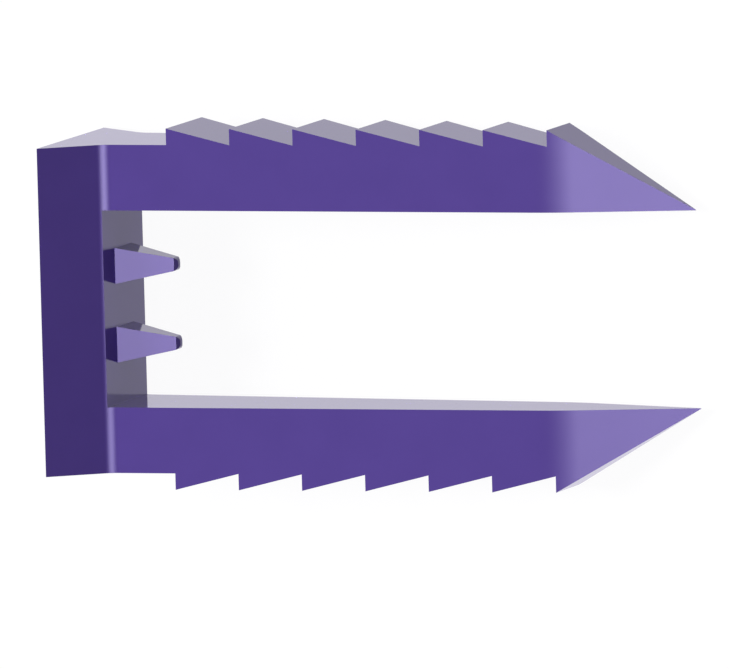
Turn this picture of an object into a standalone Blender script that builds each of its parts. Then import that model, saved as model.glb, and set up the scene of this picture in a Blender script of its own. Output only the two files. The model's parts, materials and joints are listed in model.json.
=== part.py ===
"""Barbed two-prong suture anchor, moulded in one piece, lying on its broad side. Metres, +Z up.

The side outline (head, prongs, barbs and points) and the plan outline (flared head, tapering prongs
and pointed tips) are both extruded, and the anchor is what the two have in common, with two short
tapered pegs joined on between the prongs. It is drawn along +X, with its middle plane at Z = 0, and
is then tipped about Y so that the head's lower edge and the ends of both prongs touch the ground.
"""
import math

import bmesh
import bpy
from mathutils import Matrix, Vector

# Overall and head
overall_length = 0.0200        # head's outer face to the points
head_depth = 0.00596           # broad side to broad side, at the outer face
head_flare_deg = 37.2          # slope of the head's sides, from the prongs' direction
flare_fillet = 0.00073         # hollow fillet where the head's sides meet the prongs
bridge_thickness = 0.0016      # outer face to the inner face that carries the pegs

# Prongs
gap_width = 0.0060             # clear space between the prongs
prong_height = 0.0020          # inner face to the foot of the barbs
prong_root_depth = 0.00342     # at the bridge's inner face
prong_end_depth = 0.002175     # where the tips' facets begin

# Barbs
barb_height = 0.0005
barb_pitch = 0.0020
least_neck = 0.0020            # plain stretch kept between the bridge and the first barb

# Tips
tip_length = 0.00433           # last barb's crest to the point
facet_length = 0.00426         # start of the facets to the point
facet_blend = 0.0065           # radius that blends the prongs' sides into the facets
point_flat = 0.00002           # what is left flat at the very point

# Pegs on the bridge, between the prongs
peg_spacing = 0.0024
peg_length = 0.0018
peg_root_height = 0.00109
peg_root_depth = 0.0015
peg_end_height = 0.00036
peg_end_depth = 0.00037
peg_end_radius = 0.00017       # rounds the end, seen from the broad side
peg_end_chamfer = 0.0001       # bevels the end, seen from the side of a prong
peg_bevel_limit = 0.45         # most of the end's depth that each of its two bevels may take

# Modelling allowances
cut_margin = 0.001             # how far a cutting solid reaches past what it cuts
arc_tolerance = 0.0000015      # most that a straight step may cut inside its arc
drawing_scale = 1000.0         # outlines are filled this much larger, to keep short steps apart

COLLECTION = "suture_anchor"
BODY = "anchor_body"
VIOLET = (0.098, 0.061, 0.283, 1.0)
SHARP_DEG = 20.0
WELD = 1e-7


def clear_scene():
    """Empties the scene."""
    for old in list(bpy.data.objects):
        bpy.data.objects.remove(old, do_unlink=True)
    for old in list(bpy.data.collections):
        bpy.data.collections.remove(old)


def new_collection(name):
    """A collection linked to the scene."""
    collection = bpy.data.collections.new(name)
    bpy.context.scene.collection.children.link(collection)
    return collection


def arc_corner(before, corner, after, radius):
    """Points that round a corner, using no more than half of its shorter side."""
    to_before = (before - corner).normalized()
    to_after = (after - corner).normalized()
    opening = to_before.angle(to_after)
    turn = math.pi - opening
    room = min((before - corner).length, (after - corner).length) / 2
    reach = min(radius / math.tan(opening / 2), room)
    radius = reach * math.tan(opening / 2)
    centre = corner + (to_before + to_after).normalized() * radius / math.sin(opening / 2)
    start = corner + to_before * reach - centre
    side = 1.0 if to_before.cross(to_after) < 0 else -1.0
    longest_step = 2 * math.acos(1 - arc_tolerance / radius)
    steps = max(2, math.ceil(turn / longest_step))
    return [centre + Matrix.Rotation(side * turn * i / steps, 2) @ start for i in range(steps + 1)]


def rounded_outline(corners):
    """Outline through (x, y, radius) corners, with an arc wherever the radius isn't zero."""
    points = [Vector(corner[:2]) for corner in corners]
    outline = []
    for i, corner in enumerate(corners):
        before = points[i - 1]
        after = points[(i + 1) % len(points)]
        if corner[2] > 0:
            outline += arc_corner(before, points[i], after, corner[2])
        else:
            outline.append(points[i])
    return outline


def mirrored(corners):
    """A half outline above y = 0, closed by its mirror image below."""
    return corners + [(x, -y, radius) for x, y, radius in reversed(corners)]


def extruded(name, corners, thickness, collection):
    """A flat outline extruded to both sides of its plane, as a closed mesh object."""
    curve = bpy.data.curves.new(name, "CURVE")
    curve.dimensions = "2D"
    curve.fill_mode = "BOTH"
    curve.extrude = thickness / 2 * drawing_scale
    outline = rounded_outline(corners)
    spline = curve.splines.new("POLY")
    spline.points.add(len(outline) - 1)
    for point, place in zip(spline.points, outline):
        point.co = (place.x * drawing_scale, place.y * drawing_scale, 0.0, 1.0)
    spline.use_cyclic_u = True
    drawn = bpy.data.objects.new(name + "_outline", curve)
    collection.objects.link(drawn)
    graph = bpy.context.evaluated_depsgraph_get()
    mesh = bpy.data.meshes.new_from_object(drawn.evaluated_get(graph))
    shape = bmesh.new()
    shape.from_mesh(mesh)
    bmesh.ops.scale(shape, vec=Vector((1.0, 1.0, 1.0)) / drawing_scale, verts=shape.verts)
    bmesh.ops.remove_doubles(shape, verts=shape.verts, dist=WELD)
    bmesh.ops.recalc_face_normals(shape, faces=shape.faces)
    shape.to_mesh(mesh)
    shape.free()
    solid = bpy.data.objects.new(name, mesh)
    solid.matrix_world = drawn.matrix_world
    collection.objects.link(solid)
    bpy.data.objects.remove(drawn, do_unlink=True)
    return solid


def lay_on_plan(solid):
    """Turns an extruded outline from the side view's plane into the plan view's."""
    solid.data.transform(Matrix.Rotation(math.radians(90), 4, "X"))


def as_cutter(solid):
    """Marks a construction solid, so that it shows as wires and isn't part of the anchor."""
    solid.display_type = "WIRE"
    solid.hide_render = True


def combine(target, operation, other):
    """Adds an exact Boolean modifier."""
    modifier = target.modifiers.new(operation.lower() + "_" + other.name, "BOOLEAN")
    modifier.operation = operation
    modifier.solver = "EXACT"
    modifier.object = other


def barb_crests():
    """Places of the barbs' upright faces along X, from the tip's own barb back to the neck."""
    last = overall_length - tip_length
    count = 1 + math.floor((last - bridge_thickness - least_neck) / barb_pitch)
    return [last - barb_pitch * i for i in reversed(range(count))]


def side_corners():
    """Half of the side outline: the upper prong's barbs, point and inner face, and the head."""
    foot = gap_width / 2 + prong_height
    crest = foot + barb_height
    inner = gap_width / 2
    corners = [(0.0, foot, 0.0)]
    for x in barb_crests():
        corners += [(x, foot, 0.0), (x, crest, 0.0)]
    corners += [
        (overall_length, inner + point_flat, 0.0),
        (overall_length, inner, 0.0),
        (bridge_thickness, inner, 0.0),
    ]
    return corners


def prong_slope():
    """How fast half of the prongs' depth falls along X."""
    run = overall_length - facet_length - bridge_thickness
    return (prong_root_depth - prong_end_depth) / 2 / run


def facet_start():
    """Where the prongs' sides and the tips' facets would meet: place along X and half depth."""
    return overall_length - facet_length, prong_end_depth / 2


def flare_foot():
    """Where the head's sides and the prongs' sides would meet: place along X and half depth."""
    flare = math.tan(math.radians(head_flare_deg))
    half_at_zero = prong_root_depth / 2 + prong_slope() * bridge_thickness
    x = (head_depth / 2 - half_at_zero) / (flare - prong_slope())
    return x, head_depth / 2 - flare * x


def plan_corners():
    """Half of the plan outline, which bounds the anchor's depth from the head to the points."""
    flare = math.tan(math.radians(head_flare_deg))
    start_x, start_half = facet_start()
    fall = (start_half - point_flat / 2) / facet_length
    foot_x, foot_half = flare_foot()
    return [
        (-cut_margin, head_depth / 2 + flare * cut_margin, 0.0),
        (foot_x, foot_half, flare_fillet),
        (start_x, start_half, facet_blend),
        (overall_length + point_flat / 4 / fall, point_flat / 4, 0.0),
    ]


def peg_side_corners():
    """Half of a peg's outline, seen from the broad side: root inside the bridge, rounded end."""
    end = bridge_thickness + peg_length
    return [
        (bridge_thickness / 2, peg_root_height / 2, 0.0),
        (bridge_thickness, peg_root_height / 2, 0.0),
        (end, peg_end_height / 2, peg_end_radius),
    ]


def peg_plan_corners():
    """Half of a peg's outline, seen along Y: it tapers, and its end has a bevel on each side."""
    end = bridge_thickness + peg_length
    taper = math.atan((peg_root_depth - peg_end_depth) / 2 / peg_length)
    bevel = min(peg_end_chamfer, peg_bevel_limit * peg_end_depth)
    bevel_x = end - bevel * math.cos(taper)
    bevel_half = peg_end_depth / 2 + bevel * math.sin(taper)
    end_half = peg_end_depth / 2 - bevel
    past = end_half / 2
    steep = (bevel_half - end_half) / (end - bevel_x)
    return [
        (bridge_thickness / 4, peg_root_depth / 2, 0.0),
        (bridge_thickness, peg_root_depth / 2, 0.0),
        (bevel_x, bevel_half, 0.0),
        (end + past / steep, end_half - past, 0.0),
    ]


def add_peg(name, y, cutters):
    """One tapered peg, as a construction solid to be joined onto the bridge."""
    peg = extruded(name, mirrored(peg_side_corners()), peg_root_depth + 2 * cut_margin, cutters)
    plan = extruded(name + "_plan", mirrored(peg_plan_corners()), peg_root_height + 2 * cut_margin, cutters)
    lay_on_plan(plan)
    combine(peg, "INTERSECT", plan)
    peg.location.y = y
    plan.location.y = y
    as_cutter(peg)
    as_cutter(plan)
    return peg


def rest_tilt():
    """Angle of the line from the head's lower edge that just touches the prongs' underside."""
    underside = [point for point in rounded_outline(plan_corners()) if point.x > 0]
    return min(math.atan2(head_depth / 2 - point.y, point.x) for point in underside)


def violet_plastic():
    """Glossy violet moulded polymer."""
    material = bpy.data.materials.new("violet_polymer")
    material.use_nodes = True
    shader = material.node_tree.nodes["Principled BSDF"]
    shader.inputs["Base Color"].default_value = VIOLET
    shader.inputs["Roughness"].default_value = 0.25
    shader.inputs["Metallic"].default_value = 0.0
    material.diffuse_color = VIOLET
    return material


def apply_modifiers(solid):
    """Keeps the evaluated shape as the object's own mesh, smooth but for its real edges."""
    graph = bpy.context.evaluated_depsgraph_get()
    mesh = bpy.data.meshes.new_from_object(solid.evaluated_get(graph))
    solid.modifiers.clear()
    solid.data = mesh
    mesh.shade_smooth()
    mesh.set_sharp_from_angle(angle=math.radians(SHARP_DEG))


def main():
    clear_scene()
    parts = new_collection(COLLECTION)
    cutters = new_collection("cutters")

    body = extruded(BODY, mirrored(side_corners()), head_depth + 2 * cut_margin, parts)
    full_height = gap_width + 2 * (prong_height + barb_height)
    plan = extruded("plan_envelope", mirrored(plan_corners()), full_height + 2 * cut_margin, cutters)
    lay_on_plan(plan)
    as_cutter(plan)
    combine(body, "INTERSECT", plan)
    for name, side in (("upper_peg", 1), ("lower_peg", -1)):
        combine(body, "UNION", add_peg(name, side * peg_spacing / 2, cutters))
    apply_modifiers(body)
    body.data.materials.clear()
    body.data.materials.append(violet_plastic())

    rest = bpy.data.objects.new("rest_pose", None)
    parts.objects.link(rest)
    body.parent = rest
    tilt = rest_tilt()
    rest.rotation_euler = (0.0, tilt, 0.0)
    lowest = head_depth / 2 * math.cos(tilt)
    hindmost = -head_depth / 2 * math.sin(tilt)
    foremost = overall_length * math.cos(tilt)
    rest.location = (-(hindmost + foremost) / 2, 0.0, lowest)


main()
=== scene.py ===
"""Looks of the barbed suture anchor: one glossy violet moulding on a white floor. Metres, +Z up."""
import json
import math

import bmesh
import bpy
from mathutils import Matrix, Vector


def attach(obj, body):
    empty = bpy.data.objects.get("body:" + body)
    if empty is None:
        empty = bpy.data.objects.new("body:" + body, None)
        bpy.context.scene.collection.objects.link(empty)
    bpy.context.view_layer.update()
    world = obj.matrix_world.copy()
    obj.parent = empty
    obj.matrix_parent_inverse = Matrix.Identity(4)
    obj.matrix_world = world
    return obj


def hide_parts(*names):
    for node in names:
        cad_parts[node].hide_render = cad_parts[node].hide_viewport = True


# The anchor, drawn in millimetres: X from the head's outer face to the points, Y across the prongs,
# Z through its depth, from the middle plane
overall_length = 20.0
head_depth = 5.96              # broad side to broad side, at the outer face
head_flare_deg = 37.2          # slope of the head's sides, from the prongs' direction
flare_fillet = 0.73            # hollow fillet where the head's sides meet the prongs
bridge_thickness = 1.6
gap_width = 6.0                # clear space between the prongs
prong_height = 2.0             # inner face to the foot of the barbs
prong_root_depth = 3.42        # at the bridge's inner face
prong_end_depth = 2.175        # where the tips' facets begin
barb_height = 0.5
barb_pitch = 2.0
least_neck = 2.0               # plain stretch kept between the bridge and the first barb
tip_length = 4.33              # last barb's crest to the point
facet_length = 4.26            # start of the facets to the point
facet_blend = 6.5              # radius that blends the prongs' sides into the facets
point_flat = 0.02              # what is left flat at the very point
peg_spacing = 2.4
peg_length = 1.8
peg_root_height = 1.09
peg_root_depth = 1.5
peg_end_height = 0.36
peg_end_depth = 0.37
peg_end_radius = 0.17
peg_end_chamfer = 0.1

# Surface, in millimetres and degrees
cut_margin = 1.0               # how far a cutting solid reaches past what it cuts
arc_step_deg = 0.25            # turn of the surface between two points of an arc
fewest_arc_steps = 2
edge_radius = 0.01             # rounding of the moulding's edges
edge_steps = 3                 # faces across each rounded edge
round_profile = 0.5            # makes that rounding an arc of a circle
sharp_deg = 20.0               # a larger turn between two faces is an edge
point_reach = 0.5              # edges that end this close to a point stay sharp
crease_deg = 5.0               # least turn that stays a crease where a rounding ends
largest_face_only = 100        # weight at which the largest face at a point sets its normal
least_area_step = 1e-3         # faces closer in area than this, in square millimetres, weigh the same
merge_distance = 1e-5          # points closer than this are one point
place_digits = 5               # decimals kept of a point's place
MM = 0.001

# Material
DEEP_VIOLET = (0.0952, 0.0597, 0.2775, 1.0)
CLEAR_VIOLET = (0.1000, 0.0627, 0.2887, 1.0)
CLOUD_SCALE = 700.0            # clouds about 1.4 mm across
POLISH_SCALE = 2500.0          # patches of polish about 0.4 mm across
GRAIN_SCALE = 16000.0          # fine grain of the mould, about 0.06 mm
GRAIN_DEPTH = 1e-7
NOISE_DETAIL = 3.0             # octaves of the clouds and the polish
GRAIN_DETAIL = 2.0
NOISE_SPAN = (0.3, 0.7)        # a noise seldom leaves this span
ROUGHNESS = (0.09, 0.11)       # least and most
GLOSS_IOR = 1.34
GLOSS_TINT = (0.69, 0.62, 1.0, 1.0)

# Light and floor
WHITE = (1.0, 1.0, 1.0, 1.0)
MIRRORED_WHITE = (0.985, 0.96, 1.075, 1.0)  # as reflections see it
FLOOR_SIZE = 4.0
FLOOR_GLOW = 0.885             # the share of the floor's white that no shadow darkens
FLOOR_SHADE = (0.12, 0.12, 0.12, 1.0)
FLOOR_BOUNCE = 0.29            # what the floor throws back as soft light
AMBIENT = 0.33                 # the surround's level for soft light
WALL_TOP = 0.2                 # sine of the elevation where the white walls end
CEILING_FROM = 0.42            # and where the dark ceiling begins
CEILING = 0.0
KEY_FROM = (-105.3, 58.0)      # azimuth and elevation, in degrees
KEY_STRENGTH = 2.83
KEY_SHADOWED = 0.35            # share of the key that casts shadows
SIDE_FROM = (0.0, 0.0)
SIDE_STRENGTH = 0.8
LAMP_ANGLE = 20.0              # how wide each lamp looks from the anchor, in degrees
SOFTBOX_FROM = (105.0, 63.0)
SOFTBOX_DISTANCE = 0.276
SOFTBOX_RADIUS = 0.2
SOFTBOX_SIDES = 64
SOFTBOX_LEVEL = 25.2           # at its middle
SOFTBOX_FADE = 5.0             # how steeply it fades towards its rim

# Camera
LENS = 1550.0                  # millimetres
CAMERA_FROM = (103.9945, 62.6552)
CAMERA_ROLL = -104.0608        # degrees
CAMERA_AIM = (-0.0018733, -0.0012239, -0.0008692)
CAMERA_DISTANCE = 0.952253
CLIP_SPAN = 100.0              # the clip planes are this many times nearer and farther than the anchor

PIECE = "anchor_moulding"
BODY = "anchor_body"
SLOT = "violet_polymer"


def arc_corner(before, corner, after, radius):
    """Points that round a corner, using no more than half of its shorter side."""
    to_before = (before - corner).normalized()
    to_after = (after - corner).normalized()
    opening = to_before.angle(to_after)
    turn = math.pi - opening
    room = min((before - corner).length, (after - corner).length) / 2
    reach = min(radius / math.tan(opening / 2), room)
    radius = reach * math.tan(opening / 2)
    centre = corner + (to_before + to_after).normalized() * radius / math.sin(opening / 2)
    start = corner + to_before * reach - centre
    side = 1.0 if to_before.cross(to_after) < 0 else -1.0
    steps = max(fewest_arc_steps, math.ceil(turn / math.radians(arc_step_deg)))
    return [centre + Matrix.Rotation(side * turn * i / steps, 2) @ start for i in range(steps + 1)]


def rounded_outline(corners):
    """Outline through (x, y, radius) corners, with an arc wherever the radius isn't zero."""
    points = [Vector(corner[:2]) for corner in corners]
    outline = []
    for i, corner in enumerate(corners):
        after = points[(i + 1) % len(points)]
        if corner[2] > 0:
            outline += arc_corner(points[i - 1], points[i], after, corner[2])
        else:
            outline.append(points[i])
    return outline


def mirrored(corners):
    """A half outline above y = 0, closed by its mirror image below."""
    return corners + [(x, -y, radius) for x, y, radius in reversed(corners)]


def new_object(name, shape):
    """A mesh object from a bmesh, which is freed."""
    mesh = bpy.data.meshes.new(name)
    shape.to_mesh(mesh)
    shape.free()
    made = bpy.data.objects.new(name, mesh)
    bpy.context.scene.collection.objects.link(made)
    return made


def prism(name, corners, thickness, on_plan=False):
    """An outline made solid to both sides of its plane, which is the side view's or the plan's."""
    shape = bmesh.new()
    ring = [shape.verts.new((point.x, point.y, -thickness / 2)) for point in rounded_outline(corners)]
    face = shape.faces.new(ring)
    grown = bmesh.ops.extrude_face_region(shape, geom=[face])["geom"]
    far = [part for part in grown if isinstance(part, bmesh.types.BMVert)]
    bmesh.ops.translate(shape, verts=far, vec=(0.0, 0.0, thickness))
    if on_plan:
        bmesh.ops.rotate(shape, verts=shape.verts, matrix=Matrix.Rotation(math.radians(90), 3, "X"))
    bmesh.ops.recalc_face_normals(shape, faces=shape.faces)
    return new_object(name, shape)


def combine(target, operation, other):
    """Adds an exact Boolean modifier."""
    modifier = target.modifiers.new(operation.lower() + "_" + other.name, "BOOLEAN")
    modifier.operation = operation
    modifier.solver = "EXACT"
    modifier.object = other


def barb_crests():
    """Places of the barbs' upright faces along X, from the neck to the tip's own barb."""
    last = overall_length - tip_length
    count = 1 + math.floor((last - bridge_thickness - least_neck) / barb_pitch)
    return [last - barb_pitch * i for i in reversed(range(count))]


def side_corners():
    """Half of the side outline: barbs, point and inner face of one prong, and half the head."""
    inner = gap_width / 2
    foot = inner + prong_height
    corners = [(0.0, foot, 0.0)]
    for x in barb_crests():
        corners += [(x, foot, 0.0), (x, foot + barb_height, 0.0)]
    return corners + [
        (overall_length, inner + point_flat, 0.0),
        (overall_length, inner, 0.0),
        (bridge_thickness, inner, 0.0),
    ]


def plan_corners():
    """Half of the plan outline, which bounds the anchor's depth and runs on a little past both its ends."""
    flare = math.tan(math.radians(head_flare_deg))
    facet_x = overall_length - facet_length
    slope = (prong_root_depth - prong_end_depth) / 2 / (facet_x - bridge_thickness)
    foot_x = (head_depth / 2 - prong_root_depth / 2 - slope * bridge_thickness) / (flare - slope)
    fall = (prong_end_depth / 2 - point_flat / 2) / facet_length
    past_point = point_flat / 4
    return [
        (-cut_margin, head_depth / 2 + flare * cut_margin, 0.0),
        (foot_x, head_depth / 2 - flare * foot_x, flare_fillet),
        (facet_x, prong_end_depth / 2, facet_blend),
        (overall_length + past_point / fall, past_point, 0.0),
    ]


def peg_side_corners():
    """Half of a peg's outline, seen from the broad side and sunk into the bridge."""
    return [
        (bridge_thickness / 2, peg_root_height / 2, 0.0),
        (bridge_thickness, peg_root_height / 2, 0.0),
        (bridge_thickness + peg_length, peg_end_height / 2, peg_end_radius),
    ]


def peg_plan_corners():
    """Half of a peg's outline, seen along Y: it tapers, and its end has a bevel on each side.

    It reaches past the side outline at both ends, so that the side outline ends the peg.
    """
    end = bridge_thickness + peg_length
    taper = math.atan((peg_root_depth - peg_end_depth) / 2 / peg_length)
    bevel_x = end - peg_end_chamfer * math.cos(taper)
    bevel_half = peg_end_depth / 2 + peg_end_chamfer * math.sin(taper)
    end_half = peg_end_depth / 2 - peg_end_chamfer
    past = end_half / 2
    steep = (bevel_half - end_half) / (end - bevel_x)
    return [
        (bridge_thickness / 4, peg_root_depth / 2, 0.0),
        (bridge_thickness, peg_root_depth / 2, 0.0),
        (bevel_x, bevel_half, 0.0),
        (end + past / steep, end_half - past, 0.0),
    ]


def peg_solids(name, y):
    """One tapered peg, and the solid that cuts it to its plan."""
    peg = prism(name, mirrored(peg_side_corners()), peg_root_depth + 2 * cut_margin)
    plan_height = peg_root_height + 2 * cut_margin
    plan = prism(name + "_plan", mirrored(peg_plan_corners()), plan_height, on_plan=True)
    peg.location.y = y
    plan.location.y = y
    combine(peg, "INTERSECT", plan)
    return [peg, plan]


def whole_anchor():
    """Mesh of the side outline cut to the plan outline, with both pegs joined on."""
    body = prism("body", mirrored(side_corners()), head_depth + 2 * cut_margin)
    full_height = gap_width + 2 * (prong_height + barb_height)
    plan = prism("body_plan", mirrored(plan_corners()), full_height + 2 * cut_margin, on_plan=True)
    combine(body, "INTERSECT", plan)
    solids = [body, plan]
    for name, side in (("upper_peg", 1), ("lower_peg", -1)):
        peg, peg_plan = peg_solids(name, side * peg_spacing / 2)
        combine(body, "UNION", peg)
        solids += [peg, peg_plan]
    graph = bpy.context.evaluated_depsgraph_get()
    whole = bpy.data.meshes.new_from_object(body.evaluated_get(graph))
    for solid in solids:
        # removing a mesh removes its object too
        bpy.data.meshes.remove(solid.data)
    return whole


def in_fixed_order(shape):
    """The same surface with its points and faces in the order of their places, so that it never varies."""
    shape.verts.index_update()
    places = []
    for vertex in shape.verts:
        # adding zero turns a minus zero into zero
        places.append(tuple(round(value, place_digits) + 0.0 for value in vertex.co))
    order = sorted(set(places))
    number = {place: i for i, place in enumerate(order)}
    rings = []
    for face in shape.faces:
        ring = [number[places[vertex.index]] for vertex in face.verts]
        first = ring.index(min(ring))
        rings.append(ring[first:] + ring[:first])
    ordered = bmesh.new()
    points = [ordered.verts.new(place) for place in order]
    for ring in sorted(rings):
        ordered.faces.new([points[i] for i in ring])
    ordered.normal_update()
    shape.free()
    return ordered


def is_sharp(edge):
    """Whether the surface turns enough at an edge to be one of the moulding's real edges."""
    return edge.calc_face_angle(0.0) >= math.radians(sharp_deg)


def is_rounded(edge):
    """Whether an edge is a real one that lies away from the needle-sharp points."""
    return is_sharp(edge) and all(vertex.co.x < overall_length - point_reach for vertex in edge.verts)


def end_roundings(shape):
    """Shades all faces smoothly, and closes each rounding where it runs into an edge left sharp."""
    for face in shape.faces:
        face.smooth = True
    ends = [vertex for vertex in shape.verts if not all(edge.smooth for edge in vertex.link_edges)]
    for vertex in ends:
        for edge in vertex.link_edges:
            edge.smooth = edge.calc_face_angle(0.0) < math.radians(crease_deg)


def drawn_body():
    """The anchor in its drawing frame, with its edges finely rounded."""
    shape = bmesh.new()
    shape.from_mesh(whole_anchor())
    bmesh.ops.remove_doubles(shape, verts=shape.verts, dist=merge_distance)
    shape = in_fixed_order(shape)
    rounded = [edge for edge in shape.edges if is_rounded(edge)]
    for edge in shape.edges:
        edge.smooth = edge in rounded or not is_sharp(edge)
    bmesh.ops.bevel(
        shape, geom=rounded, offset=edge_radius, offset_type="OFFSET", segments=edge_steps,
        profile=round_profile, affect="EDGES", clamp_overlap=True,
    )
    end_roundings(shape)
    return new_object(PIECE, shape)


def rest_matrix(record):
    """From the drawing frame, in millimetres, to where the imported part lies."""
    outer = next(mount for mount in record["mounts"] if mount["name"] == "head_outer_face")
    along = -Vector(outer["axis"]).normalized()
    across = Vector((0.0, 1.0, 0.0))
    through = along.cross(across)
    turn = Matrix((along, across, through)).transposed().to_4x4()
    return Matrix.Translation(outer["pos_m"]) @ turn @ Matrix.Scale(MM, 4)


def keep_faces_flat(moulding):
    """Bends the shading over arcs and rounded edges only, so that the flat faces look flat.

    The mesh is split along its sharp edges before the normals are set, so that they stay exactly as set.
    """
    weighted = moulding.modifiers.new("flat_faces_first", "WEIGHTED_NORMAL")
    weighted.mode = "FACE_AREA"
    weighted.weight = largest_face_only
    weighted.thresh = least_area_step
    weighted.keep_sharp = True
    graph = bpy.context.evaluated_depsgraph_get()
    mesh = bpy.data.meshes.new_from_object(moulding.evaluated_get(graph))
    normals = [tuple(corner.vector) for corner in mesh.corner_normals]
    mesh.split_faces()
    mesh.normals_split_custom_set(normals)
    moulding.data = mesh
    moulding.modifiers.clear()


def add_node(tree, kind, inputs=(), **settings):
    """A shader node with its settings, and its inputs as values or as the sockets that feed them."""
    node = tree.nodes.new(kind)
    for name, value in settings.items():
        setattr(node, name, value)
    for name, value in dict(inputs).items():
        if isinstance(value, bpy.types.NodeSocket):
            tree.links.new(value, node.inputs[name])
        else:
            node.inputs[name].default_value = value
    return node


def new_tree(owner):
    """An emptied node tree on a material or world."""
    owner.use_nodes = True
    owner.node_tree.nodes.clear()
    return owner.node_tree


def noise(tree, coordinates, scale, detail):
    """Noise about 0.5 over the object's own coordinates."""
    made = add_node(tree, "ShaderNodeTexNoise", {"Vector": coordinates, "Scale": scale, "Detail": detail})
    return made.outputs["Fac"]


def mapped(tree, value, span, low, high, **settings):
    """A value that runs over a span, spread between low and high."""
    made = add_node(tree, "ShaderNodeMapRange", {
        "Value": value, "From Min": span[0], "From Max": span[1], "To Min": low, "To Max": high,
    }, **settings)
    return made.outputs["Result"]


def mixed(tree, factor, first, second, kind="FLOAT"):
    """A number or a colour between two, each a value or a socket."""
    made = add_node(tree, "ShaderNodeMix", {"Factor": factor, "A": first, "B": second}, data_type=kind)
    return made.outputs["Result"]


def calculated(tree, operation, first, second):
    """The result of an operation on two numbers, each a value or a socket."""
    return add_node(tree, "ShaderNodeMath", {0: first, 1: second}, operation=operation).outputs[0]


def violet_polymer():
    """Dyed absorbable polymer: clouded a little inside, polished by its mould."""
    material = bpy.data.materials.new(SLOT)
    tree = new_tree(material)
    place = add_node(tree, "ShaderNodeTexCoord").outputs["Object"]
    cloud = noise(tree, place, CLOUD_SCALE, NOISE_DETAIL)
    polish = noise(tree, place, POLISH_SCALE, NOISE_DETAIL)
    grain = noise(tree, place, GRAIN_SCALE, GRAIN_DETAIL)
    dye = mixed(tree, mapped(tree, cloud, NOISE_SPAN, 0.0, 1.0), DEEP_VIOLET, CLEAR_VIOLET, "RGBA")
    bump = add_node(tree, "ShaderNodeBump", {
        "Strength": 1.0, "Distance": GRAIN_DEPTH, "Height": grain,
    })
    shader = add_node(tree, "ShaderNodeBsdfPrincipled", {
        "Base Color": dye,
        "Roughness": mapped(tree, polish, NOISE_SPAN, *ROUGHNESS),
        "IOR": GLOSS_IOR,
        "Specular Tint": GLOSS_TINT,
        "Normal": bump.outputs["Normal"],
    })
    add_node(tree, "ShaderNodeOutputMaterial", {"Surface": shader.outputs["BSDF"]})
    return material


def floor():
    """A plain white floor, which keeps a faint shadow and throws back a plain amount of light."""
    shape = bmesh.new()
    bmesh.ops.create_grid(shape, x_segments=1, y_segments=1, size=FLOOR_SIZE / 2)
    ground = new_object("floor", shape)
    material = bpy.data.materials.new("white_floor")
    material.cycles.emission_sampling = "NONE"
    tree = new_tree(material)
    path = add_node(tree, "ShaderNodeLightPath")
    glow = add_node(tree, "ShaderNodeEmission", {"Color": WHITE, "Strength": FLOOR_GLOW})
    shade = add_node(tree, "ShaderNodeBsdfDiffuse", {"Color": FLOOR_SHADE})
    seen = add_node(tree, "ShaderNodeAddShader", {0: glow.outputs[0], 1: shade.outputs[0]})
    bounce = add_node(tree, "ShaderNodeEmission", {"Color": WHITE, "Strength": FLOOR_BOUNCE})
    gloss = add_node(tree, "ShaderNodeEmission", {"Color": MIRRORED_WHITE})
    lit = add_node(tree, "ShaderNodeMixShader", {
        0: path.outputs["Is Diffuse Ray"], 1: gloss.outputs[0], 2: bounce.outputs[0],
    })
    surface = add_node(tree, "ShaderNodeMixShader", {
        0: path.outputs["Is Camera Ray"], 1: lit.outputs[0], 2: seen.outputs[0],
    })
    add_node(tree, "ShaderNodeOutputMaterial", {"Surface": surface.outputs[0]})
    ground.data.materials.append(material)


def studio_world():
    """A white surround: reflections see it fade to a dark ceiling, and it fills the shadows evenly.

    It is white to the camera, and a white with a breath of violet in reflections.
    """
    world = bpy.data.worlds.new("studio")
    bpy.context.scene.world = world
    world.cycles.sampling_method = "NONE"
    tree = new_tree(world)
    path = add_node(tree, "ShaderNodeLightPath")
    shown = path.outputs["Is Camera Ray"]
    direction = add_node(tree, "ShaderNodeTexCoord").outputs["Generated"]
    height = add_node(tree, "ShaderNodeSeparateXYZ", {"Vector": direction}).outputs["Z"]
    fade = (WALL_TOP, CEILING_FROM)
    walls = mapped(tree, height, fade, 1.0, CEILING, interpolation_type="SMOOTHSTEP")
    soft_level = mixed(tree, path.outputs["Is Diffuse Ray"], walls, AMBIENT)
    background = add_node(tree, "ShaderNodeBackground", {
        "Color": mixed(tree, shown, MIRRORED_WHITE, WHITE, "RGBA"),
        "Strength": mixed(tree, shown, soft_level, 1.0),
    })
    add_node(tree, "ShaderNodeOutputWorld", {"Surface": background.outputs[0]})


def toward(azimuth_deg, elevation_deg):
    """Direction from the anchor. Azimuth 0 is towards -Y and 90 towards +X."""
    azimuth = math.radians(azimuth_deg)
    elevation = math.radians(elevation_deg)
    return Vector((
        math.sin(azimuth) * math.cos(elevation),
        -math.cos(azimuth) * math.cos(elevation),
        math.sin(elevation),
    ))


def soft_sun(name, aim_from, strength, shadow=True):
    """A distant soft lamp, placed by the azimuth and elevation that it shines from."""
    lamp = bpy.data.lights.new(name, "SUN")
    lamp.energy = strength
    lamp.angle = math.radians(LAMP_ANGLE)
    lamp.use_shadow = shadow
    placed = bpy.data.objects.new(name, lamp)
    bpy.context.scene.collection.objects.link(placed)
    placed.rotation_mode = "QUATERNION"
    placed.rotation_quaternion = toward(*aim_from).to_track_quat("Z", "Y")


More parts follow.
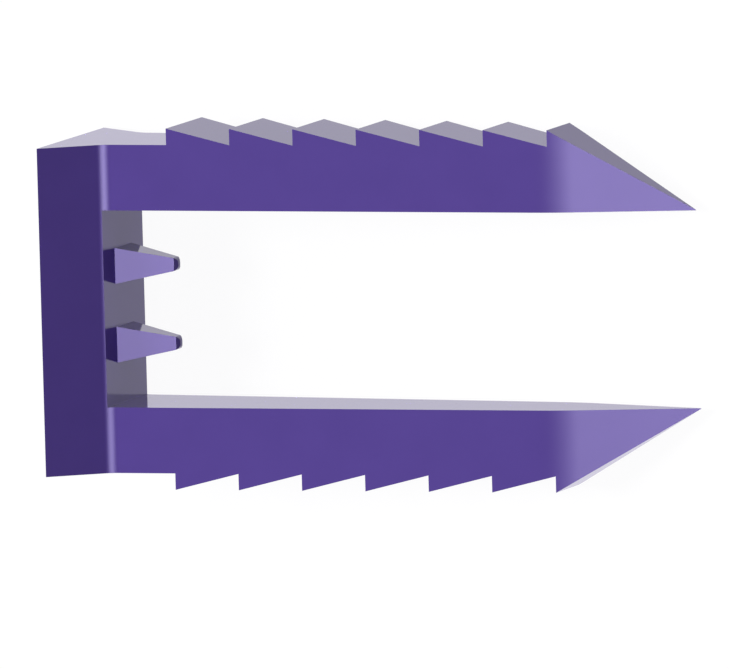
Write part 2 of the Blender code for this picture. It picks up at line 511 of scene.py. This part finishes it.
def lamps():
    """The main light comes from the head's side, and most of it reaches round what stands before it."""
    soft_sun("key", KEY_FROM, KEY_STRENGTH * KEY_SHADOWED)
    soft_sun("key_fill", KEY_FROM, KEY_STRENGTH * (1 - KEY_SHADOWED), shadow=False)
    soft_sun("side_fill", SIDE_FROM, SIDE_STRENGTH)


def softbox_cloth():
    """Glowing cloth, brightest in the middle and dark at the rim."""
    material = bpy.data.materials.new("softbox_cloth")
    material.cycles.emission_sampling = "NONE"
    tree = new_tree(material)
    place = add_node(tree, "ShaderNodeTexCoord").outputs["Object"]
    reach = add_node(tree, "ShaderNodeVectorMath", {0: place}, operation="LENGTH").outputs["Value"]
    outward = mapped(tree, reach, (0.0, SOFTBOX_RADIUS), 0.0, 1.0)
    squared = calculated(tree, "POWER", outward, 2.0)
    inward = calculated(tree, "SUBTRACT", 1.0, squared)
    fade = calculated(tree, "POWER", inward, SOFTBOX_FADE)
    strength = calculated(tree, "MULTIPLY", fade, SOFTBOX_LEVEL)
    glow = add_node(tree, "ShaderNodeEmission", {"Color": WHITE, "Strength": strength})
    add_node(tree, "ShaderNodeOutputMaterial", {"Surface": glow.outputs[0]})
    return material


def softbox():
    """A large round softbox that fades to its rim, seen only as the gloss on the anchor."""
    shape = bmesh.new()
    bmesh.ops.create_circle(shape, cap_ends=True, segments=SOFTBOX_SIDES, radius=SOFTBOX_RADIUS)
    box = new_object("softbox", shape)
    box.rotation_mode = "QUATERNION"
    box.rotation_quaternion = toward(*SOFTBOX_FROM).to_track_quat("Z", "Y")
    box.location = toward(*SOFTBOX_FROM) * SOFTBOX_DISTANCE
    box.visible_camera = False
    box.visible_diffuse = False
    box.visible_shadow = False
    box.data.materials.append(softbox_cloth())


def photo_camera():
    """A very long lens, square on to the middle of the photograph."""
    data = bpy.data.cameras.new("camera")
    data.lens = LENS
    data.clip_start = CAMERA_DISTANCE / CLIP_SPAN
    data.clip_end = CAMERA_DISTANCE * CLIP_SPAN
    camera = bpy.data.objects.new("camera", data)
    bpy.context.scene.collection.objects.link(camera)
    back = toward(*CAMERA_FROM)
    level_right = toward(CAMERA_FROM[0] + 90, 0.0)
    right = Matrix.Rotation(math.radians(CAMERA_ROLL), 3, back) @ level_right
    up = back.cross(right)
    turn = Matrix((right, up, back)).transposed().to_4x4()
    camera.matrix_world = Matrix.Translation(Vector(CAMERA_AIM) + back * CAMERA_DISTANCE) @ turn
    bpy.context.scene.camera = camera


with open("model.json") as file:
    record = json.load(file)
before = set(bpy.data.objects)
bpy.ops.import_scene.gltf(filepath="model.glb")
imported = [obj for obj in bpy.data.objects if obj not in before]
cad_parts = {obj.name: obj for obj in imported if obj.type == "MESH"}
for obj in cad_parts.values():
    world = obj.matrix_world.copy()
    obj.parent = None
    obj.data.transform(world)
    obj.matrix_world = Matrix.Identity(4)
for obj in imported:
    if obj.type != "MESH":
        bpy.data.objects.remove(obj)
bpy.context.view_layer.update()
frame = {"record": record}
photo_camera()
moulding = drawn_body()
keep_faces_flat(moulding)
moulding.data.transform(rest_matrix(frame["record"]))
moulding.data.materials.append(violet_polymer())
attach(moulding, "root")
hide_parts(BODY)
floor()
studio_world()
lamps()
softbox()
bpy.context.scene.view_settings.view_transform = "Standard"
